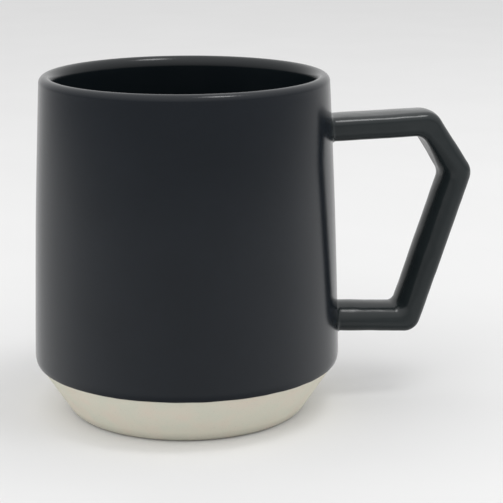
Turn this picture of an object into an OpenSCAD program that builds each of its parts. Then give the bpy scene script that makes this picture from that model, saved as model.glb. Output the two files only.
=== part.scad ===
// Ceramic mug: a stoneware cup with a flared bare foot, an angular bar handle luted to the wall,
// and thin glaze coats outside, inside and on the handle. Millimetres, +Z up, handle along +X,
// origin on the cup's axis at the level of the surface that the foot stands on.

/* [Body] */
// Height of the finished mug
mug_height = 90; // [84:0.5:100]
// Finished diameter at the widest point, just above the foot
body_diameter = 81.5; // [80:0.5:82]
// Finished outer diameter that the wall would reach at the rim, before the rim is rounded
rim_diameter = 75.6; // [73:0.2:78]
// How far the wall bows out between its widest point and the rim
wall_bow = 0.3; // [0:0.1:0.8]
// Finished thickness of the wall, glaze included
wall_thickness = 4; // [3.4:0.1:4.6]
// Finished thickness from the standing surface to the inside of the floor
floor_height = 6; // [5:0.25:8]
// Radius of the corner between the inside wall and the floor
inner_corner_radius = 12; // [6:0.5:16]

/* [Foot] */
// Diameter that the foot cone would have at the standing surface, before its edge is rounded
foot_diameter = 62; // [61.4:0.2:63.4]
// Angle of the bare foot cone from upright
foot_angle = 33.2; // [32:0.2:35]
// Radius of the foot's outer edge
foot_edge = 3; // [2:0.1:3.6]
// Radius of the shoulder between the foot cone and the wall
shoulder_radius = 4.5; // [2:0.5:5]
// Width of the foot ring, from where the cone would reach the standing surface
foot_ring_width = 5.4; // [5:0.2:8]
// Depth of the recess inside the foot ring
foot_recess = 1.4; // [0.6:0.1:2]

/* [Glaze] */
// Thickness of every glaze coat
glaze = 0.4; // [0.3:0.05:0.5]
// Height at which the outer glaze ends and bare clay begins
glaze_line_height = 13.9; // [13.4:0.1:14.2]

/* [Rim] */
// Radius of the rim's outer edge, finished
rim_outer_radius = 1.8; // [1.4:0.1:2.4]
// How far the rim's inner rounding reaches down from the crest, finished
rim_inner_drop = 2.8; // [2:0.1:3.6]

/* [Handle] */
// Finished thickness of the bar, seen from the side
bar_thickness = 7.2; // [6.4:0.1:7.6]
// Finished width of the bar, across the grip
bar_width = 12.4; // [11:0.2:14]
// Finished radius of the bar's long edges
bar_edge_radius = 2.4; // [1.6:0.1:2.6]
// Height of the upper arm's centre line at the wall
upper_arm_height = 74.2; // [72:0.1:76]
// Reach and height of the corner between the upper arm and the short slope
upper_corner = [65.4, 74.9]; // [60:0.1:80]
// Reach and height of the handle's farthest corner
far_corner = [74.8, 61.6]; // [60:0.1:80]
// Reach and height of the corner between the long slope and the lower arm
lower_corner = [60.5, 21.2]; // [20:0.1:80]
// Height of the lower arm's centre line at the wall
lower_arm_height = 22.7; // [20:0.1:24]
// Inside radius of the three bends, from the top down
bend_radii = [1.6, 1.2, 1.4]; // [0.8:0.1:4]
// How far the slip bead spreads around the end of each arm
bead_spread = 1.2; // [0.6:0.1:1.6]
// How far the slip bead climbs along each arm, from the glazed wall
bead_climb = 1.1; // [0.6:0.1:1.6]

/* [Hidden] */
$fn = 128;

clay_color = [0.80, 0.77, 0.69];
slip_color = [0.72, 0.68, 0.60];
glaze_color = [0.16, 0.17, 0.19];
liner_color = [0.11, 0.12, 0.13];

// The clay under the glaze.
clay_widest = body_diameter / 2 - glaze;
clay_rim = rim_diameter / 2 - glaze;
foot_radius = foot_diameter / 2;
foot_edge_centre = foot_radius + foot_edge * tan(foot_angle) - foot_edge / cos(foot_angle);

// Lean of the wall where it leaves the shoulder, and the shoulder's arc, tangent to cone and wall.
// The glaze ends on this arc, at line_angle from its centre's level.
wall_lean = atan((clay_widest - clay_rim - 4 * wall_bow) / (mug_height - glaze_line_height));
shoulder_x = clay_widest - shoulder_radius * cos(wall_lean);
shoulder_z = (shoulder_radius / cos(foot_angle) + shoulder_x - foot_radius) / tan(foot_angle);
line_angle = asin((glaze_line_height - shoulder_z) / shoulder_radius);
widest_height = shoulder_z + shoulder_radius * sin(wall_lean);

wall_steps = 6;
arc_steps = 7;
edge_steps = 4;
bend_steps = 6;

// Radius of the clay wall at height z.
function wall_share(z) = (z - widest_height) / (mug_height - widest_height);
function wall_radius(z) = clay_widest - (clay_widest - clay_rim) * wall_share(z)
    + 4 * wall_bow * wall_share(z) * (1 - wall_share(z));

// The crest of the rim, where the outer coat meets the liner, and the height where its outer arc starts.
rim_start = mug_height - rim_outer_radius;
crest_radius = wall_radius(rim_start) + glaze - rim_outer_radius;

// Points on an arc about c, from angle a0 to a1, ends included.
function arc(c, r, a0, a1, steps) = oval(c, [r, r], a0, a1, steps);
// The same on an ellipse with half-axes r[0] and r[1].
function oval(c, r, a0, a1, steps) =
    [for (i = [0:steps]) let (a = a0 + (a1 - a0) * i / steps) c + [r[0] * cos(a), r[1] * sin(a)]];

// Outer line from the glaze line up to the crest, grown outwards by d from the clay.
function outer_line(d) = concat(
    arc([shoulder_x, shoulder_z], shoulder_radius + d, line_angle, wall_lean, edge_steps),
    [for (i = [1:wall_steps - 1])
        let (z = widest_height + (rim_start - widest_height) * i / wall_steps)
        [wall_radius(z) + d, z]],
    arc([crest_radius, rim_start], rim_outer_radius - glaze + d, 0, 90, arc_steps)
);

// Inner line from the crest down to the middle of the floor, d inside the clay's surface.
function inner_wall_radius(z) = wall_radius(z) + glaze - wall_thickness;
rim_end = mug_height - rim_inner_drop;
rim_inner_width = crest_radius - inner_wall_radius(rim_end);
corner_height = floor_height + inner_corner_radius;
function inner_line(d) = concat(
    oval([crest_radius, rim_end], [rim_inner_width - glaze + d, rim_inner_drop - glaze + d],
        90, 180, arc_steps),
    [for (i = [1:wall_steps])
        let (z = rim_end + (corner_height - rim_end) * i / wall_steps)
        [inner_wall_radius(z) + glaze - d, z]],
    arc([inner_wall_radius(corner_height) - inner_corner_radius, corner_height],
        inner_corner_radius + glaze - d, -10, -90, arc_steps),
    [[0, floor_height - glaze + d]]
);

function reversed(points) = [for (i = [len(points) - 1:-1:0]) points[i]];

// The foot from the floor's middle underneath, out to the glaze line.
foot_line = concat(
    [[0, foot_recess],
     [foot_radius - foot_ring_width - foot_recess, foot_recess],
     [foot_radius - foot_ring_width, 0]],
    arc([foot_edge_centre, foot_edge], foot_edge, -90, -foot_angle, arc_steps),
    [for (i = [0:arc_steps - 1])
        let (a = -foot_angle + (line_angle + foot_angle) * i / arc_steps)
        [shoulder_x, shoulder_z] + shoulder_radius * [cos(a), sin(a)]]
);

// Solid of revolution filling the cup, grown outwards by d from the clay, foot left as it is.
module filled_cup(d) {
    crest = outer_line(d);
    rotate_extrude()
        polygon(concat(foot_line, crest, [[0, crest[len(crest) - 1][1]]]));
}

module clay_cup() {
    color(clay_color)
        rotate_extrude()
            polygon(concat(foot_line, outer_line(0), inner_line(0)));
}

module outer_glaze() {
    color(glaze_color)
        difference() {
            rotate_extrude()
                polygon(concat(outer_line(glaze), reversed(outer_line(0))));
            for (arm = [0, 1])
                arm_prism(arm, bead_spread);
        }
}

module inner_glaze() {
    color(liner_color)
        rotate_extrude()
            polygon(concat(inner_line(glaze), reversed(inner_line(0))));
}

// The handle's centre line, from inside the upper wall round to inside the lower wall.
root_reach = 37;
centre_line = [[root_reach, upper_arm_height], upper_corner, far_corner, lower_corner,
               [root_reach, lower_arm_height]];
legs = len(centre_line) - 1;

function leg_vector(i) = centre_line[i + 1] - centre_line[i];
function leg_angle(i) = atan2(leg_vector(i)[1], leg_vector(i)[0]);
// Clockwise turn from leg i - 1 to leg i.
function turn(i) = (leg_angle(i - 1) - leg_angle(i) + 360) % 360;
function bend_radius(i) = bend_radii[i - 1] + bar_thickness / 2;
// Length of leg that the bend at corner i takes up; the two ends have no bend.
function trim(i) = i == 0 || i == legs ? 0 : bend_radius(i) * tan(turn(i) / 2);

// Outline of the bar's section, grown on every side by d from the finished bar: [inwards, across].
function section_points(d) =
    let (half = [bar_thickness / 2 + d, bar_width / 2 + d], r = bar_edge_radius + d)
    [for (q = [0:3])
        let (side = [q == 0 || q == 3 ? 1 : -1, q < 2 ? 1 : -1])
        each arc([side[0] * (half[0] - r), side[1] * (half[1] - r)], r, q * 90, q * 90 + 90, edge_steps)];

// Stations along the centre line, each [point, angle]: both ends, and every step round a bend.
function bend_stations(i) =
    let (a = leg_angle(i - 1),
         centre = centre_line[i] - trim(i) * [cos(a), sin(a)] + bend_radius(i) * [sin(a), -cos(a)])
    [for (k = [0:bend_steps])
        let (b = a - turn(i) * k / bend_steps)
        [centre + bend_radius(i) * [-sin(b), cos(b)], b]];
stations = concat(
    [[centre_line[0], leg_angle(0)]],
    [for (i = [1:legs - 1]) each bend_stations(i)],
    [[centre_line[legs], leg_angle(legs - 1)]]
);

// The bar as one closed skin, a ring of section points at each station.
module bar(d) {
    section = section_points(d);
    n = len(section);
    last = len(stations) - 1;
    polyhedron(
        points = [for (s = stations) for (q = section)
            [s[0][0] + q[0] * sin(s[1]), q[1], s[0][1] - q[0] * cos(s[1])]],
        faces = concat(
            [[for (j = [0:n - 1]) j]],
            [for (k = [0:last - 1]) for (j = [0:n - 1])
                let (next = (j + 1) % n)
                [k * n + j, (k + 1) * n + j, (k + 1) * n + next, k * n + next]],
            [[for (j = [n - 1:-1:0]) last * n + j]]
        )
    );
}

// The stretch of bar at the wall, arm 0 above and arm 1 below, grown by d for the slip bead.
prism_length = 8;
module arm_prism(arm, d) {
    a = arm == 0 ? leg_angle(0) : leg_angle(legs - 1) + 180;
    height = arm == 0 ? upper_arm_height : lower_arm_height;
    translate([root_reach, 0, height])
        rotate([0, 90 - a, 0])
            linear_extrude(prism_length)
                polygon(section_points(d));
}

// The bead and the bed behind it, out to reach beyond the clay wall.
module arm_root(arm, d, reach) {
    intersection() {
        arm_prism(arm, d);
        filled_cup(reach);
    }
}

module clay_handle() {
    color(clay_color)
        difference() {
            bar(-glaze);
            filled_cup(glaze);
        }
}

// The slip bed fills the gap between the arm's end and the clay wall, and swells out around the arm.
module joint_slip(arm) {
    color(slip_color)
        difference() {
            arm_root(arm, bead_spread, glaze + bead_climb);
            filled_cup(0);
            difference() {
                arm_prism(arm, -glaze);
                filled_cup(glaze);
            }
        }
}

module upper_joint_slip() {
    joint_slip(0);
}

module lower_joint_slip() {
    joint_slip(1);
}

// The coat over the handle and over the two beads.
module handle_glaze() {
    color(glaze_color)
        difference() {
            union() {
                bar(0);
                for (arm = [0, 1])
                    arm_root(arm, bead_spread + glaze, 2 * glaze + bead_climb);
            }
            filled_cup(glaze);
            bar(-glaze);
            for (arm = [0, 1])
                arm_root(arm, bead_spread, glaze + bead_climb);
        }
}

clay_cup();
clay_handle();
upper_joint_slip();
lower_joint_slip();
outer_glaze();
inner_glaze();
handle_glaze();
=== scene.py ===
"""Looks of the ceramic mug: smooth glaze coats, bare clay foot and angular bar handle.

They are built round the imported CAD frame. Lengths in the mesh code are millimetres in the frame's axes,
and meshes are made in metres.
"""

import math

import bpy
from mathutils import Matrix, Vector, noise


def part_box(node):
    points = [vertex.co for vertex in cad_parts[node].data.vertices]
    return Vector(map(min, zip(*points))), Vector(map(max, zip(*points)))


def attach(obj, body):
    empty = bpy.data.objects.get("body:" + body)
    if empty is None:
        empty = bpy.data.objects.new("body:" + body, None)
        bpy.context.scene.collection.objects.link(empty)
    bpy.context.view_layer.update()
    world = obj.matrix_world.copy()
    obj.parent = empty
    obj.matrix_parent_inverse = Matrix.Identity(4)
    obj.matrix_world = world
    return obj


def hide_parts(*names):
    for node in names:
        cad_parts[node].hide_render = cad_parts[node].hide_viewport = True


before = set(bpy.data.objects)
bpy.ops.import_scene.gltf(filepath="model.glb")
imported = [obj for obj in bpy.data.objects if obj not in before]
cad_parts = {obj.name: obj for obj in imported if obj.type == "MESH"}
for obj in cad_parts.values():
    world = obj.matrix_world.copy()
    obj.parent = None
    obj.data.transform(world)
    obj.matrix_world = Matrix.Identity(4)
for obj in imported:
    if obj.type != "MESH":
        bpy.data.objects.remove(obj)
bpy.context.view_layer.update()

MM = 0.001
BODY = "root"


def box_mm(node):
    """Lowest and highest corner of a CAD node, in millimetres."""
    low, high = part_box(node)
    return low / MM, high / MM


# ---------------------------------------------------------------- sizes from the frame

outer_low, outer_high = box_mm("outer_glaze")
cup_high = box_mm("clay_cup")[1]
liner_low = box_mm("inner_glaze")[0]
grip_high = box_mm("handle_glaze")[1]

MUG_HEIGHT = outer_high.z
BODY_RADIUS = outer_high.y
GLAZE = BODY_RADIUS - cup_high.y
FLOOR_HEIGHT = liner_low.z + GLAZE
OUTERMOST = grip_high.x

# ---------------------------------------------------------------- sizes that no box gives

RIM_RADIUS = 37.8
WALL_BOW = 0.3
WALL_THICKNESS = 4.0
INNER_CORNER = 12.0
FOOT_RADIUS = 31.0
FOOT_ANGLE = math.radians(33.2)
FOOT_EDGE = 3.0
FOOT_RING = 5.4
SHOULDER = 4.5
FOOT_RECESS = 1.4
RING_EASE = 0.45
RIM_OUTER = 1.8
RIM_INNER_DROP = 2.8

BAR_THICKNESS = 7.2
BAR_WIDTH = 12.4
OUTER_REACH = 3.72
OUTER_CROWN = 0.75
ARM_SECTION = (2.1, 2.1, 2.4, 2.4, 2.95)
GRIP_SECTION = (2.4, 2.2, 4.8, 6.0, 4.05)
GRIP_EASE = 21.0
ROOT_REACH = 37.0
UPPER_ARM = 74.2
LOWER_ARM = 22.6
UPPER_CORNER = (65.4, 74.9)
FAR_CORNER = (OUTERMOST - 3.64, 61.6)
LOWER_CORNER = (60.5, 21.2)
OUTER_BENDS = (4.6, 5.0, 4.5)
INNER_BENDS = (4.0, 3.6, 2.0)
BEAD_SPREAD = 1.3
BEAD_CLIMB = 1.2

# ---------------------------------------------------------------- how finely the cup's outline is drawn

SHOULDER_STEPS = 10
WALL_STEPS = 56
RIM_STEPS = 24
LINER_STEPS = 40
CORNER_START = -4
CORNER_STEPS = 28
FLOOR_STEPS = 16
RECESS_STEPS = 12
RING_STEPS = 4
FOOT_STEPS = 16
CONE_STEPS = 20
COAT_EDGE_STEPS = 12

# ---------------------------------------------------------------- the cup's outline

CLAY_WIDEST = BODY_RADIUS - GLAZE
CLAY_RIM = RIM_RADIUS - GLAZE
COAT_FOOT = outer_low.z
WALL_LEAN = math.atan((CLAY_WIDEST - CLAY_RIM - 4 * WALL_BOW) / (MUG_HEIGHT - COAT_FOOT))
SHOULDER_X = CLAY_WIDEST - SHOULDER * math.cos(WALL_LEAN)
SHOULDER_Z = (SHOULDER / math.cos(FOOT_ANGLE) + SHOULDER_X - FOOT_RADIUS) / math.tan(FOOT_ANGLE)
LINE_ANGLE = math.degrees(math.asin((COAT_FOOT - SHOULDER_Z) / (SHOULDER + GLAZE)))
GLAZE_LINE = SHOULDER_Z + SHOULDER * math.sin(math.radians(LINE_ANGLE))
WIDEST_HEIGHT = SHOULDER_Z + SHOULDER * math.sin(WALL_LEAN)
RIM_START = MUG_HEIGHT - RIM_OUTER


def wall_radius(z):
    """Radius of the clay wall's outside at height z, above the shoulder."""
    share = (z - WIDEST_HEIGHT) / (MUG_HEIGHT - WIDEST_HEIGHT)
    return CLAY_WIDEST - (CLAY_WIDEST - CLAY_RIM) * share + 4 * WALL_BOW * share * (1 - share)


CREST_RADIUS = wall_radius(RIM_START) + GLAZE - RIM_OUTER


def oval(centre, half_axes, start, end, steps):
    """Points on an ellipse from angle start to angle end in degrees, ends included."""
    angles = [math.radians(start + (end - start) * i / steps) for i in range(steps + 1)]
    return [(centre[0] + half_axes[0] * math.cos(a), centre[1] + half_axes[1] * math.sin(a)) for a in angles]


def arc(centre, radius, start, end, steps):
    """Points on a circle from angle start to angle end in degrees, ends included."""
    return oval(centre, (radius, radius), start, end, steps)


def line(start, end, steps):
    """Points between start and end, both left out."""
    return [(start[0] + (end[0] - start[0]) * i / steps, start[1] + (end[1] - start[1]) * i / steps)
            for i in range(1, steps)]


def outer_line(offset):
    """From the glaze line up over the outer rim to the crest, offset outwards from the clay."""
    lean = math.degrees(WALL_LEAN)
    shoulder = arc((SHOULDER_X, SHOULDER_Z), SHOULDER + offset, LINE_ANGLE, lean, SHOULDER_STEPS)
    heights = [WIDEST_HEIGHT + (RIM_START - WIDEST_HEIGHT) * i / WALL_STEPS for i in range(1, WALL_STEPS)]
    wall = [(wall_radius(z) + offset, z) for z in heights]
    rim = arc((CREST_RADIUS, RIM_START), RIM_OUTER - GLAZE + offset, 0, 90, RIM_STEPS)
    return shoulder + wall + rim


def liner_radius(z):
    """Radius of the glazed inside wall at height z."""
    return wall_radius(z) + GLAZE - WALL_THICKNESS


def inner_line(offset):
    """From the crest down the inside to the middle of the floor, offset into the drink from the clay."""
    top = MUG_HEIGHT - RIM_INNER_DROP
    bottom = FLOOR_HEIGHT + INNER_CORNER
    width = CREST_RADIUS - liner_radius(top)
    half_axes = (width - GLAZE + offset, RIM_INNER_DROP - GLAZE + offset)
    rim = oval((CREST_RADIUS, top), half_axes, 90, 180, RIM_STEPS)
    wall = []
    for i in range(1, LINER_STEPS + 1):
        z = top + (bottom - top) * i / LINER_STEPS
        wall.append((liner_radius(z) + GLAZE - offset, z))
    corner_centre = (liner_radius(bottom) - INNER_CORNER, bottom)
    corner = arc(corner_centre, INNER_CORNER + GLAZE - offset, CORNER_START, -90, CORNER_STEPS)
    floor_end = (0.0, FLOOR_HEIGHT - GLAZE + offset)
    return rim + wall + corner + line(corner[-1], floor_end, FLOOR_STEPS) + [floor_end]


def foot_line():
    """From the middle of the recess underneath, round the foot ring and up the bare cone."""
    edge_centre = FOOT_RADIUS + FOOT_EDGE * math.tan(FOOT_ANGLE) - FOOT_EDGE / math.cos(FOOT_ANGLE)
    ring_inside = FOOT_RADIUS - FOOT_RING
    middle = (0.0, FOOT_RECESS)
    recess_centre = (ring_inside - FOOT_RECESS - RING_EASE, FOOT_RECESS - RING_EASE)
    recess = arc(recess_centre, RING_EASE, 90, 45, RING_STEPS)
    ring = arc((ring_inside + RING_EASE, RING_EASE), RING_EASE, 225, 270, RING_STEPS)
    cone_angle = math.degrees(FOOT_ANGLE)
    outside = arc((edge_centre, FOOT_EDGE), FOOT_EDGE, -90, -cone_angle, FOOT_STEPS)
    shoulder = arc((SHOULDER_X, SHOULDER_Z), SHOULDER, -cone_angle, LINE_ANGLE, FOOT_STEPS)
    cone = line(outside[-1], shoulder[0], CONE_STEPS)
    return [middle] + line(middle, recess[0], RECESS_STEPS) + recess + ring + outside + cone + shoulder[:-1]


# ---------------------------------------------------------------- mesh making

SHARP_ANGLE = math.radians(40)
ON_AXIS = 1e-6
SEGMENTS = 320


def make_object(name, points, faces, material):
    """A smooth-shaded mesh object from points in millimetres."""
    mesh = bpy.data.meshes.new(name)
    mesh.from_pydata([(x * MM, y * MM, z * MM) for x, y, z in points], [], faces)
    mesh.validate()
    mesh.polygons.foreach_set("use_smooth", [True] * len(mesh.polygons))
    mesh.set_sharp_from_angle(angle=SHARP_ANGLE)
    mesh.materials.append(material)
    mesh.update()
    piece = bpy.data.objects.new(name, mesh)
    bpy.context.scene.collection.objects.link(piece)
    return piece


def revolve(outline, segments, shape=None):
    """Points and faces of a closed outline turned about Z.

    shape moves each point, and an end of the outline that lies on the axis becomes one point.
    """
    points = []
    rings = []
    for radius, z in outline:
        if radius < ON_AXIS:
            rings.append([len(points)])
            points.append((0.0, 0.0, z))
            continue
        start = len(points)
        for j in range(segments):
            turn = 2 * math.pi * j / segments
            point = Vector((radius * math.cos(turn), radius * math.sin(turn), z))
            points.append(tuple(shape(point) if shape else point))
        rings.append(list(range(start, start + segments)))
    faces = []
    closed = len(rings[0]) > 1
    pairs = list(zip(rings, rings[1:] + rings[:1])) if closed else list(zip(rings, rings[1:]))
    for low, high in pairs:
        for j in range(segments):
            k = (j + 1) % segments
            if len(low) == 1:
                faces.append((low[0], high[k], high[j]))
            elif len(high) == 1:
                faces.append((low[j], low[k], high[0]))
            else:
                faces.append((low[j], low[k], high[k], high[j]))
    return points, faces


def swell(point, scale, amount, seed=0.0):
    """Gentle unevenness at a point, from smooth noise, in millimetres."""
    return amount * noise.noise(Vector((point[0] / scale, point[1] / scale, point[2] / scale + seed)))


WALL_WAVE_SIZE = 22.0
WALL_WAVE = 0.05


def cup_shape(point):
    """Slight waviness of a cast and glazed wall, which only moves points inwards."""
    radial = Vector((point.x, point.y, 0)).normalized()
    return point + radial * (swell(point, WALL_WAVE_SIZE, WALL_WAVE) - WALL_WAVE)


# ---------------------------------------------------------------- the cup and its coats

def clay_cup(material):
    outline = foot_line() + outer_line(0.0) + inner_line(0.0)
    points, faces = revolve(outline, SEGMENTS)
    return make_object("stoneware_cup", points, faces, material)


def coat_edge():
    """The outer coat's lower edge, rounded over from the outside down to the clay."""
    turn = math.radians(LINE_ANGLE)
    reach = SHOULDER + GLAZE / 2
    centre = (SHOULDER_X + reach * math.cos(turn), SHOULDER_Z + reach * math.sin(turn))
    return arc(centre, GLAZE / 2, LINE_ANGLE - 180, LINE_ANGLE, COAT_EDGE_STEPS)[1:-1]


LINE_FADE = 2.0
LINE_WAVES = 9.0
LINE_WANDER = 0.10


def outer_coat(material):
    def shape(point):
        """The wall's waviness, and a lower edge that wanders a little up and down."""
        near_line = max(0.0, 1 - abs(point.z - GLAZE_LINE) / LINE_FADE)
        around = Vector((point.x, point.y, 0)).normalized() * LINE_WAVES
        drop = LINE_WANDER * noise.noise(around) * near_line
        return cup_shape(point) + Vector((0, 0, drop))

    outline = coat_edge() + outer_line(GLAZE) + list(reversed(outer_line(0.0)))
    points, faces = revolve(outline, SEGMENTS, shape)
    return make_object("outer_glaze_coat", points, faces, material)


def inner_coat(material):
    inside = inner_line(GLAZE)
    outline = list(reversed(inside)) + inner_line(0.0)
    points, faces = revolve(outline, SEGMENTS)
    return make_object("inner_glaze_coat", points, faces, material)


# ---------------------------------------------------------------- the handle

EDGE_STEPS = 14
WIDE_STEPS = 16
NARROW_STEPS = 5
PATH_STEP = 0.5
BEND_STEPS = 16
FILLET_STEPS = 12
END_RINGS = 6
COAT_SINK = 0.12
COAT_CLEARANCE = 0.4
BAR_CLEARANCE = 0.2
SEARCH_REACH = 20.0
SEARCH_STEPS = 40


def direction(start, end):
    return (Vector(end) - Vector(start)).normalized()


def side_of(heading):
    """Unit vector to the right of a heading in the XZ plane, which is the handle's inside."""
    return Vector((heading.y, -heading.x))


def offset_corners(corners, distance):
    """The corners moved so that each leg shifts sideways by distance towards the handle's inside."""
    first = direction(corners[0], corners[1])
    last = direction(corners[-2], corners[-1])
    moved = [corners[0] + side_of(first) * distance]
    for corner, before, after in zip(corners[1:-1], corners, corners[2:]):
        arriving, leaving = side_of(direction(before, corner)), side_of(direction(corner, after))
        mean = (arriving + leaving).normalized()
        moved.append(corner + mean * distance / mean.dot(arriving))
    moved.append(corners[-1] + side_of(last) * distance)
    return moved


def bend_points(corner, before, after, radius):
    """Points round one bend, from its arriving leg to its leaving leg."""
    heading, leaving = direction(before, corner), direction(corner, after)
    turn = heading.angle(leaving)
    centre = corner - heading * radius * math.tan(turn / 2) + side_of(heading) * radius
    points = []
    for k in range(BEND_STEPS + 1):
        angle = turn * k / BEND_STEPS
        arm = heading * math.sin(angle) - side_of(heading) * math.cos(angle)
        points.append(centre + arm * radius)
    return points


def full_path(corners, radii, leg_steps):
    """Points along the legs and round the bends, the same number for any offset and radii."""
    bends = [bend_points(*stop) for stop in zip(corners[1:-1], corners, corners[2:], radii)]
    starts = [corners[0]] + [bend[-1] for bend in bends]
    ends = [bend[0] for bend in bends] + [corners[-1]]
    path = [corners[0]]
    for i, steps in enumerate(leg_steps):
        path += [starts[i].lerp(ends[i], k / steps) for k in range(1, steps + 1)]
        if i < len(bends):
            path += bends[i][1:]
    return path


HANDLE_CORNERS = [Vector(c) for c in
                  ((ROOT_REACH, UPPER_ARM), UPPER_CORNER, FAR_CORNER, LOWER_CORNER, (ROOT_REACH, LOWER_ARM))]
LEG_STEPS = [round((b - a).length / PATH_STEP) for a, b in zip(HANDLE_CORNERS, HANDLE_CORNERS[1:])]


def section(grow, grip):
    """The bar's section grown by a distance, from the crisp arm (grip 0) to the D-shaped grip (grip 1)."""
    outer_depth, outer_width, inner_depth, inner_width, inner_reach = [
        arm + (full - arm) * grip + grow for arm, full in zip(ARM_SECTION, GRIP_SECTION)]
    outer_reach, half_width = OUTER_REACH + grow, BAR_WIDTH / 2 + grow
    inner_u, outer_u = inner_reach - inner_depth, outer_depth - outer_reach
    inner_v, outer_v = half_width - inner_width, half_width - outer_width
    corners = [
        oval((inner_u, inner_v), (inner_depth, inner_width), 0, 90, EDGE_STEPS),
        oval((outer_u, outer_v), (outer_depth, outer_width), 90, 180, EDGE_STEPS),
        oval((outer_u, -outer_v), (outer_depth, outer_width), 180, 270, EDGE_STEPS),
        oval((inner_u, -inner_v), (inner_depth, inner_width), 270, 360, EDGE_STEPS),
    ]
    points = []
    for i, corner in enumerate(corners):
        steps = WIDE_STEPS if i % 2 else NARROW_STEPS
        points += corner + line(corner[-1], corners[(i + 1) % len(corners)][0], steps)
    crowned = []
    for u, v in points:
        drop = OUTER_CROWN * (v / half_width) ** 2 * max(0.0, -u / outer_reach)
        crowned.append((u + drop, v))
    return crowned


SECTION_POINTS = len(section(0.0, 0.0))


def section_normals(points):
    """Outward unit normals of a section."""
    normals = []
    for j, point in enumerate(points):
        before, after = points[j - 1], points[(j + 1) % len(points)]
        normals.append(Vector((after[1] - before[1], before[0] - after[0])).normalized())
    return normals


def reach_wall(origin, heading, offset):
    """Distance from origin along heading to the clay wall grown by offset."""
    low, high = -SEARCH_REACH, SEARCH_REACH
    for _ in range(SEARCH_STEPS):
        middle = (low + high) / 2
        point = origin + heading * middle
        if math.hypot(point.x, point.y) < wall_radius(point.z) + offset:
            low = middle
        else:
            high = middle
    return low


class Arm:
    """One end of the handle: where it meets the wall and which way it leaves."""

    def __init__(self, end, neighbour, inside, grip):
        self.grip = grip
        heading = direction(HANDLE_CORNERS[end], HANDLE_CORNERS[neighbour])
        across = side_of(heading) * inside
        self.start = Vector((HANDLE_CORNERS[end].x, 0, HANDLE_CORNERS[end].y))
        self.heading = Vector((heading.x, 0, heading.y))
        self.thick = Vector((across.x, 0, across.y))

    def ring(self, grow, spread, climb, above, share=1.0):
        """A ring of the arm, spread outwards, at climb along the arm from the wall grown by above."""
        outline = section(grow, self.grip)
        points = []
        for (u, v), normal in zip(outline, section_normals(outline)):
            place = self.start + self.thick * ((u + normal.x * spread) * share)
            place += Vector((0, (v + normal.y * spread) * share, 0))
            points.append(place + self.heading * (reach_wall(place, self.heading, above) + climb))
        return points


UPPER_END = Arm(0, 1, 1, 0.0)
LOWER_END = Arm(-1, -2, -1, 1.0)


def flare_profile():
    """Spread and climb of the concave fillet from its foot on the wall up to the plain bar."""
    profile = []
    for k in range(FILLET_STEPS, -1, -1):
        angle = math.pi / 2 * k / FILLET_STEPS
        profile.append((BEAD_SPREAD * (1 - math.cos(angle)), BEAD_CLIMB * (1 - math.sin(angle))))
    return profile


def flare(arm, grow):
    """Rings of the fillet round an arm's end, on the glazed wall."""
    return [arm.ring(grow, spread, climb, GLAZE) for spread, climb in flare_profile()]


def ease(value, start, end):
    share = min(1.0, max(0.0, (value - start) / (end - start)))
    return share * share * (3 - 2 * share)


def grip_shares(middles):
    """How D-shaped the bar is along its path: crisp on the upper arm, full after the far corner."""
    travelled = [0.0]
    for before, after in zip(middles, middles[1:]):
        travelled.append(travelled[-1] + (after - before).length)
    first_bend = travelled[LEG_STEPS[0] + BEND_STEPS // 2]
    return [ease(s, first_bend, first_bend + GRIP_EASE) for s in travelled]


def bar_rings(grow):
    """Rings of the bar along its whole path, from inside the wall to inside the wall."""
    half = BAR_THICKNESS / 2
    outer = full_path(offset_corners(HANDLE_CORNERS, -half), OUTER_BENDS, LEG_STEPS)
    inner = full_path(offset_corners(HANDLE_CORNERS, half), INNER_BENDS, LEG_STEPS)
    middles = [(out + inn) / 2 for out, inn in zip(outer, inner)]
    rings = []
    for middle, inn, grip in zip(middles, inner, grip_shares(middles)):
        inwards = inn - middle
        stretch = inwards.length / half
        unit = inwards.normalized()
        ring = []
        for u, v in section(grow, grip):
            place = middle + unit * (u + math.copysign(half * (stretch - 1), u))
            ring.append(Vector((place.x, v, place.y)))
        rings.append(ring)
    return rings


def clear_of_wall(ring, margin):
    return all(math.hypot(p.x, p.y) > wall_radius(p.z) + margin for p in ring)


def handle_skin(grow):
    """All rings of one skin of the handle's coat, from the upper fillet's foot to the lower fillet's foot."""
    margin = GLAZE + BEAD_CLIMB + COAT_CLEARANCE
    bar = [ring for ring in bar_rings(grow) if clear_of_wall(ring, margin)]
    return flare(UPPER_END, grow) + bar + flare(LOWER_END, grow)[::-1]


# Size, amount and seed of each swell of the handle's surface.
BROAD_SWELL = (7.0, 0.10, 3.0)
FINE_SWELL = (2.6, 0.035, 9.0)


def uneven(point, normal):
    """Hand-finished waviness of the handle, under its glaze."""
    return point + normal * (swell(point, *BROAD_SWELL) + swell(point, *FINE_SWELL))


def ring_normals(rings):
    normals = []
    last = len(rings) - 1
    for i, ring in enumerate(rings):
        before, after = rings[max(i - 1, 0)], rings[min(i + 1, last)]
        row = []
        for j in range(SECTION_POINTS):
            along = after[j] - before[j]
            around = ring[(j + 1) % SECTION_POINTS] - ring[j - 1]
            row.append(around.cross(along).normalized())
        normals.append(row)
    return normals


def skin_faces(rings, closed):
    """Quads between neighbouring rings; closed joins the last ring to the first."""
    faces = []
    for i in range(len(rings) if closed else len(rings) - 1):
        low, high = i * SECTION_POINTS, (i + 1) % len(rings) * SECTION_POINTS
        for j in range(SECTION_POINTS):
            k = (j + 1) % SECTION_POINTS
            faces.append((low + j, low + k, high + k, high + j))
    return faces


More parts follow.
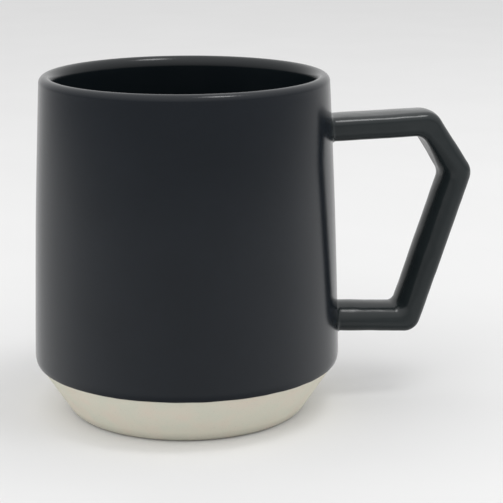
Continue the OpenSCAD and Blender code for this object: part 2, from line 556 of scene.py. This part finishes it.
def handle_coat(material):
    skin = handle_skin(0.0)
    outside = [[uneven(p, n) for p, n in zip(ring, row)] for ring, row in zip(skin, ring_normals(skin))]
    upper_foot = UPPER_END.ring(0.0, BEAD_SPREAD, 0.0, GLAZE - COAT_SINK)
    lower_foot = LOWER_END.ring(0.0, BEAD_SPREAD, 0.0, GLAZE - COAT_SINK)
    rings = [upper_foot] + outside + [lower_foot] + handle_skin(-GLAZE)[::-1]
    points = [tuple(p) for ring in rings for p in ring]
    return make_object("handle_glaze_coat", points, skin_faces(rings, True), material)


def capped_tube(name, rings, first, last, material):
    """A closed solid from a run of rings, with its two end caps drawn in to the points first and last."""
    points = [tuple(p) for ring in rings for p in ring]
    faces = skin_faces(rings, False)
    first_index, last_index = len(points), len(points) + 1
    points += [tuple(first), tuple(last)]
    top = (len(rings) - 1) * SECTION_POINTS
    for j in range(SECTION_POINTS):
        k = (j + 1) % SECTION_POINTS
        faces.append((first_index, k, j))
        faces.append((last_index, top + j, top + k))
    return make_object(name, points, faces, material)


def end_cap(arm, above, spread=0.0):
    """Rings that draw an arm's end in towards its middle, on the wall grown by above, and that middle."""
    shares = [k / END_RINGS for k in range(1, END_RINGS)]
    rings = [arm.ring(-GLAZE, spread, 0.0, above, share) for share in shares]
    middle = arm.start + arm.heading * reach_wall(arm.start, arm.heading, above)
    return rings, middle


def clay_bar(material):
    """The bare bar under the coat, its ends coped to sit on the slip beds."""
    upper_cap, upper_middle = end_cap(UPPER_END, 2 * GLAZE)
    lower_cap, lower_middle = end_cap(LOWER_END, 2 * GLAZE)
    upper_ring = UPPER_END.ring(-GLAZE, 0.0, 0.0, 2 * GLAZE)
    lower_ring = LOWER_END.ring(-GLAZE, 0.0, 0.0, 2 * GLAZE)
    bar = [ring for ring in bar_rings(-GLAZE) if clear_of_wall(ring, 2 * GLAZE + BAR_CLEARANCE)]
    rings = upper_cap + [upper_ring] + bar + [lower_ring] + lower_cap[::-1]
    return capped_tube("stoneware_handle", rings, upper_middle, lower_middle, material)


def joint_slip(name, arm, material):
    """The slip under one arm's end and the fillet round it."""
    bed_cap, bed_middle = end_cap(arm, GLAZE, spread=BEAD_SPREAD)
    arm_cap, arm_middle = end_cap(arm, 2 * GLAZE)
    sleeve = [arm.ring(-GLAZE, 0.0, climb, 2 * GLAZE) for climb in (BEAD_CLIMB / 2, 0.0)]
    rings = bed_cap + flare(arm, -GLAZE) + sleeve + arm_cap[::-1]
    return capped_tube(name, rings, bed_middle, arm_middle, material)


# ---------------------------------------------------------------- materials

def node_material(name):
    material = bpy.data.materials.new(name)
    material.use_nodes = True
    tree = material.node_tree
    tree.nodes.clear()
    output = tree.nodes.new("ShaderNodeOutputMaterial")
    shader = tree.nodes.new("ShaderNodeBsdfPrincipled")
    tree.links.new(shader.outputs["BSDF"], output.inputs["Surface"])
    return material, tree, shader


def add_noise(tree, size_mm, detail=2.0, roughness=0.5, seed=(0.0, 0.0, 0.0)):
    """Noise texture whose blobs are about size_mm across, in the object's own place."""
    place = tree.nodes.new("ShaderNodeTexCoord")
    mapping = tree.nodes.new("ShaderNodeMapping")
    mapping.inputs["Location"].default_value = seed
    texture = tree.nodes.new("ShaderNodeTexNoise")
    texture.inputs["Scale"].default_value = 1 / (size_mm * MM)
    texture.inputs["Detail"].default_value = detail
    texture.inputs["Roughness"].default_value = roughness
    tree.links.new(place.outputs["Object"], mapping.inputs["Vector"])
    tree.links.new(mapping.outputs["Vector"], texture.inputs["Vector"])
    return texture.outputs["Fac"]


def add_range(tree, value, low, high, to_low, to_high):
    node = tree.nodes.new("ShaderNodeMapRange")
    node.inputs["From Min"].default_value = low
    node.inputs["From Max"].default_value = high
    node.inputs["To Min"].default_value = to_low
    node.inputs["To Max"].default_value = to_high
    tree.links.new(value, node.inputs["Value"])
    return node.outputs["Result"]


def add_ramp(tree, value, stops):
    node = tree.nodes.new("ShaderNodeValToRGB")
    ramp = node.color_ramp
    while len(ramp.elements) < len(stops):
        ramp.elements.new(1.0)
    for element, (position, colour) in zip(ramp.elements, stops):
        element.position = position
        element.color = (*colour, 1.0)
    tree.links.new(value, node.inputs["Fac"])
    return node.outputs["Color"]


def add_mix(tree, factor, first, second, blend="MIX"):
    node = tree.nodes.new("ShaderNodeMix")
    node.data_type = "RGBA"
    node.blend_type = blend
    if isinstance(factor, float):
        node.inputs["Factor"].default_value = factor
    else:
        tree.links.new(factor, node.inputs["Factor"])
    for socket, value in ((node.inputs[6], first), (node.inputs[7], second)):
        if isinstance(value, tuple):
            socket.default_value = (*value, 1.0)
        else:
            tree.links.new(value, socket)
    return node.outputs[2]


def add_bump(tree, height, distance_mm, strength, under=None):
    node = tree.nodes.new("ShaderNodeBump")
    node.inputs["Distance"].default_value = distance_mm * MM
    node.inputs["Strength"].default_value = strength
    tree.links.new(height, node.inputs["Height"])
    if under:
        tree.links.new(under, node.inputs["Normal"])
    return node.outputs["Normal"]


GLAZE_DARK = (0.0022, 0.0048, 0.0085)
GLAZE_LIGHT = (0.0034, 0.0062, 0.0105)
# Painted light: the inner coat is the same charcoal glaze, given brighter colours to paint in light that the
# inside of the cup doesn't get.
LINER_DARK_WITH_PAINTED_LIGHT = (0.0052, 0.0080, 0.0098)
LINER_LIGHT_WITH_PAINTED_LIGHT = (0.0070, 0.0098, 0.0118)
# Painted light: the handle's coat is the same charcoal glaze, given brighter colours to paint in light that
# its faces don't get.
GRIP_DARK_WITH_PAINTED_LIGHT = (0.0125, 0.0170, 0.0185)
GRIP_LIGHT_WITH_PAINTED_LIGHT = (0.0160, 0.0210, 0.0225)
CLOUD_SIZE = 14.0
GRAIN_SIZE = 0.55
EGGSHELL_SIZE = 3.2
GLAZE_ROUGHNESS = (0.15, 0.21)
EGGSHELL_BUMP = (0.02, 0.25)
GRAIN_BUMP = (0.012, 0.5)


def glaze_material(name, seed, dark=GLAZE_DARK, light=GLAZE_LIGHT):
    """Satin charcoal glaze: faint clouding, fine speckle in the gloss, and an eggshell micro-texture."""
    material, tree, shader = node_material(name)
    clouds = add_noise(tree, CLOUD_SIZE, 3.0, 0.55, seed)
    grains = add_noise(tree, GRAIN_SIZE, 2.0, 0.6, seed)
    shader.inputs["IOR"].default_value = 1.5
    tree.links.new(add_ramp(tree, clouds, [(0.3, dark), (0.7, light)]),
                   shader.inputs["Base Color"])
    tree.links.new(add_range(tree, grains, 0.3, 0.7, *GLAZE_ROUGHNESS), shader.inputs["Roughness"])
    eggshell = add_bump(tree, add_noise(tree, EGGSHELL_SIZE, 2.0, 0.5, seed), *EGGSHELL_BUMP)
    tree.links.new(add_bump(tree, grains, *GRAIN_BUMP, eggshell), shader.inputs["Normal"])
    return material


CLAY_SAND = (0.650, 0.625, 0.530)
CLAY_WARM = (0.670, 0.612, 0.520)
CLAY_COOL = (0.630, 0.625, 0.530)
CLAY_GRIT = (0.45, 0.42, 0.35)
MOTTLE_SIZE = 7.0
GRIT_SIZE = 0.45
# Painted shade near the floor: the height in millimetres it reaches, and the factor on the clay's colour at
# the floor.
PAINTED_SHADE_HEIGHT = 3.0
PAINTED_SHADE_AT_FLOOR = 0.72
CLAY_ROUGHNESS = (0.80, 0.95)
GRIT_BUMP = (0.05, 0.5)


def clay_material(name, seed):
    """Bare fired stoneware: sandy, slightly mottled, with fine grit, and painted shade that darkens it close
    to the floor.
    """
    material, tree, shader = node_material(name)
    mottle = add_noise(tree, MOTTLE_SIZE, 3.0, 0.6, seed)
    patches = add_ramp(tree, mottle, [(0.35, CLAY_COOL), (0.5, CLAY_SAND), (0.68, CLAY_WARM)])
    grit = add_noise(tree, GRIT_SIZE, 2.0, 0.7, seed)
    speck = add_range(tree, grit, 0.62, 0.75, 0.0, 0.5)
    colour = add_mix(tree, speck, patches, CLAY_GRIT)
    place = tree.nodes.new("ShaderNodeTexCoord")
    split = tree.nodes.new("ShaderNodeSeparateXYZ")
    tree.links.new(place.outputs["Object"], split.inputs["Vector"])
    # Painted shade: the clay's colour is darkened over its lowest few millimetres, most at the floor.
    low = add_range(tree, split.outputs["Z"], 0.0, PAINTED_SHADE_HEIGHT * MM, PAINTED_SHADE_AT_FLOOR, 1.0)
    painted_shade_factor = tree.nodes.new("ShaderNodeCombineColor")
    for channel in ("Red", "Green", "Blue"):
        tree.links.new(low, painted_shade_factor.inputs[channel])
    shaded = add_mix(tree, 1.0, colour, painted_shade_factor.outputs["Color"], "MULTIPLY")
    tree.links.new(shaded, shader.inputs["Base Color"])
    tree.links.new(add_range(tree, grit, 0.3, 0.7, *CLAY_ROUGHNESS), shader.inputs["Roughness"])
    shader.inputs["IOR"].default_value = 1.4
    tree.links.new(add_bump(tree, grit, *GRIT_BUMP), shader.inputs["Normal"])
    return material


# ---------------------------------------------------------------- stage, light and camera

FLOOR_REACH = 4.0
FLOOR_CELLS = 8
FLOOR_WHITE = (0.79, 0.79, 0.79)
FIBRE_SIZE = 60.0
FIBRE_TONE = 0.985


def floor_material():
    material, tree, shader = node_material("floor_paper")
    fibre = add_noise(tree, FIBRE_SIZE, 2.0, 0.5)
    tone = tuple(c * FIBRE_TONE for c in FLOOR_WHITE)
    tree.links.new(add_ramp(tree, fibre, [(0.3, tone), (0.7, FLOOR_WHITE)]), shader.inputs["Base Color"])
    shader.inputs["Roughness"].default_value = 0.9
    shader.inputs["Specular IOR Level"].default_value = 0.0
    return material


def make_floor():
    """A flat sheet that reaches FLOOR_REACH metres each way from the mug, and isn't seen in reflections."""
    places = [FLOOR_REACH / MM * (i / FLOOR_CELLS - 0.5) * 2 for i in range(FLOOR_CELLS + 1)]
    points = [(x, y, 0.0) for x in places for y in places]
    row = FLOOR_CELLS + 1
    faces = [(i * row + j, (i + 1) * row + j, (i + 1) * row + j + 1, i * row + j + 1)
             for i in range(FLOOR_CELLS) for j in range(FLOOR_CELLS)]
    floor = make_object("paper_sweep", points, faces, floor_material())
    floor.visible_glossy = False


CAMERA_PLACE = (-0.0728, -0.4351, 0.1518)
CAMERA_TURN = math.radians(11.753)
CAMERA_TILT = math.radians(13.951)
CAMERA_ROLL = math.radians(-0.085)
CAMERA_LENS = 121.92
CAMERA_SENSOR = 36.0


def make_camera():
    data = bpy.data.cameras.new("camera")
    data.lens = CAMERA_LENS
    data.sensor_width = CAMERA_SENSOR
    data.clip_start = 0.01
    data.clip_end = 100.0
    forward = Vector((math.sin(CAMERA_TURN) * math.cos(CAMERA_TILT),
                      math.cos(CAMERA_TURN) * math.cos(CAMERA_TILT),
                      -math.sin(CAMERA_TILT)))
    level = forward.cross(Vector((0, 0, 1))).normalized()
    upright = level.cross(forward)
    right = level * math.cos(CAMERA_ROLL) + upright * math.sin(CAMERA_ROLL)
    up = upright * math.cos(CAMERA_ROLL) - level * math.sin(CAMERA_ROLL)
    camera = bpy.data.objects.new("camera", data)
    camera.matrix_world = Matrix((
        (right.x, up.x, -forward.x, CAMERA_PLACE[0]),
        (right.y, up.y, -forward.y, CAMERA_PLACE[1]),
        (right.z, up.z, -forward.z, CAMERA_PLACE[2]),
        (0, 0, 0, 1),
    ))
    bpy.context.scene.collection.objects.link(camera)
    bpy.context.scene.camera = camera


# Brightness round the tent, from straight behind the mug (-1) to the camera's side (1).
TENT_ABOVE = 1.0
TENT_HORIZON = [
    (-1.0, 0.80), (-0.87, 0.76), (-0.72, 0.60), (-0.5, 0.44), (-0.17, 0.38), (0.36, 0.35), (1.0, 0.32),
]
TENT_LOW = [
    (-1.0, 0.78), (-0.87, 0.76), (-0.72, 0.72), (-0.5, 0.78), (-0.17, 0.84), (0.36, 0.70), (1.0, 0.51),
]
LOW_BAND = (-0.16, -0.09)
HIGH_BAND = (0.0, 0.9)
DEEP_BAND = (-0.75, -0.30)
DEEP_SHARE = 0.45


def make_world():
    """A light tent: white above, dimmer towards the camera at table height, and dark far below it."""
    world = bpy.data.worlds.new("light_tent")
    bpy.context.scene.world = world
    world.use_nodes = True
    tree = world.node_tree
    tree.nodes.clear()
    place = tree.nodes.new("ShaderNodeTexCoord")
    dot = tree.nodes.new("ShaderNodeVectorMath")
    dot.operation = "DOT_PRODUCT"
    dot.inputs[1].default_value = (-math.sin(CAMERA_TURN), -math.cos(CAMERA_TURN), 0.0)
    tree.links.new(place.outputs["Generated"], dot.inputs[0])
    turn = add_range(tree, dot.outputs["Value"], -1.0, 1.0, 0.0, 1.0)
    low, horizon = [add_ramp(tree, turn, [((c + 1) / 2, (v, v, v)) for c, v in stops])
                    for stops in (TENT_LOW, TENT_HORIZON)]
    split = tree.nodes.new("ShaderNodeSeparateXYZ")
    tree.links.new(place.outputs["Generated"], split.inputs["Vector"])
    rise, climb = [add_range(tree, split.outputs["Z"], *band, 0.0, 1.0) for band in (LOW_BAND, HIGH_BAND)]
    sunk = add_range(tree, split.outputs["Z"], *DEEP_BAND, 0.0, 1.0)
    deep = add_mix(tree, 1.0, low, (DEEP_SHARE, DEEP_SHARE, DEEP_SHARE), "MULTIPLY")
    around = add_mix(tree, rise, add_mix(tree, sunk, deep, low), horizon)
    colour = add_mix(tree, climb, around, (TENT_ABOVE, TENT_ABOVE, TENT_ABOVE))
    tent = tree.nodes.new("ShaderNodeBackground")
    tree.links.new(colour, tent.inputs["Color"])
    output = tree.nodes.new("ShaderNodeOutputWorld")
    tree.links.new(tent.outputs["Background"], output.inputs["Surface"])


# Name, place, size in metres and power in watts of each light. All aim at the mug's foot.
TOP_BOX = ("top_box", (0.22, -0.18, 0.9), (0.22, 0.22), 1.0)
FILLS = (
    ("front_fill", (-0.2, -0.9, 0.6), (1.0, 1.0), 1.8),
    ("left_fill", (-0.8, -0.1, 0.32), (1.0, 0.5), 2.3),
    ("right_fill", (0.8, -0.1, 0.32), (1.0, 0.5), 2.3),
)


def soft_box(name, place, size, power):
    data = bpy.data.lights.new(name, "AREA")
    data.shape = "RECTANGLE"
    data.size, data.size_y = size
    data.energy = power
    light = bpy.data.objects.new(name, data)
    light.location = place
    light.rotation_euler = (Vector((0.0, 0.0, 0.0)) - Vector(place)).to_track_quat("-Z", "Y").to_euler()
    light.visible_camera = False
    bpy.context.scene.collection.objects.link(light)
    return light


def make_lights():
    """The overhead box, and the fills, which light the mug but aren't seen in its glaze."""
    soft_box(*TOP_BOX)
    fills = [soft_box(*fill) for fill in FILLS]
    for fill in fills:
        fill.visible_glossy = False


# ---------------------------------------------------------------- assembly

def place_piece(piece, slot, *nodes):
    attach(piece, BODY)
    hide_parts(*nodes)


def main():
    make_camera()
    clay = clay_material("bare_stoneware", (0.0, 0.0, 0.0))
    slip = clay_material("luting_slip", (0.02, 0.01, 0.03))
    place_piece(clay_cup(clay), "bare_clay", "clay_cup")
    coat = glaze_material("charcoal_outer_glaze", (0.0, 0.0, 0.0))
    place_piece(outer_coat(coat), "outer_glaze", "outer_glaze")
    # Painted light: the inner coat's colours are brighter than the outer coat's.
    liner = glaze_material("charcoal_inner_glaze_painted_light", (0.01, 0.0, 0.0), LINER_DARK_WITH_PAINTED_LIGHT, LINER_LIGHT_WITH_PAINTED_LIGHT)
    place_piece(inner_coat(liner), "inner_glaze", "inner_glaze")
    # Painted light: the handle coat's colours are brighter than the outer coat's.
    grip = glaze_material("charcoal_handle_glaze_painted_light", (0.0, 0.02, 0.0), GRIP_DARK_WITH_PAINTED_LIGHT, GRIP_LIGHT_WITH_PAINTED_LIGHT)
    place_piece(handle_coat(grip), "handle_glaze", "handle_glaze")
    place_piece(clay_bar(clay), "bare_clay", "clay_handle")
    place_piece(joint_slip("upper_slip_bead", UPPER_END, slip), "joint_slip", "upper_joint_slip")
    place_piece(joint_slip("lower_slip_bead", LOWER_END, slip), "joint_slip", "lower_joint_slip")
    make_floor()
    make_world()
    make_lights()
    bpy.context.scene.view_settings.view_transform = "Standard"


main()
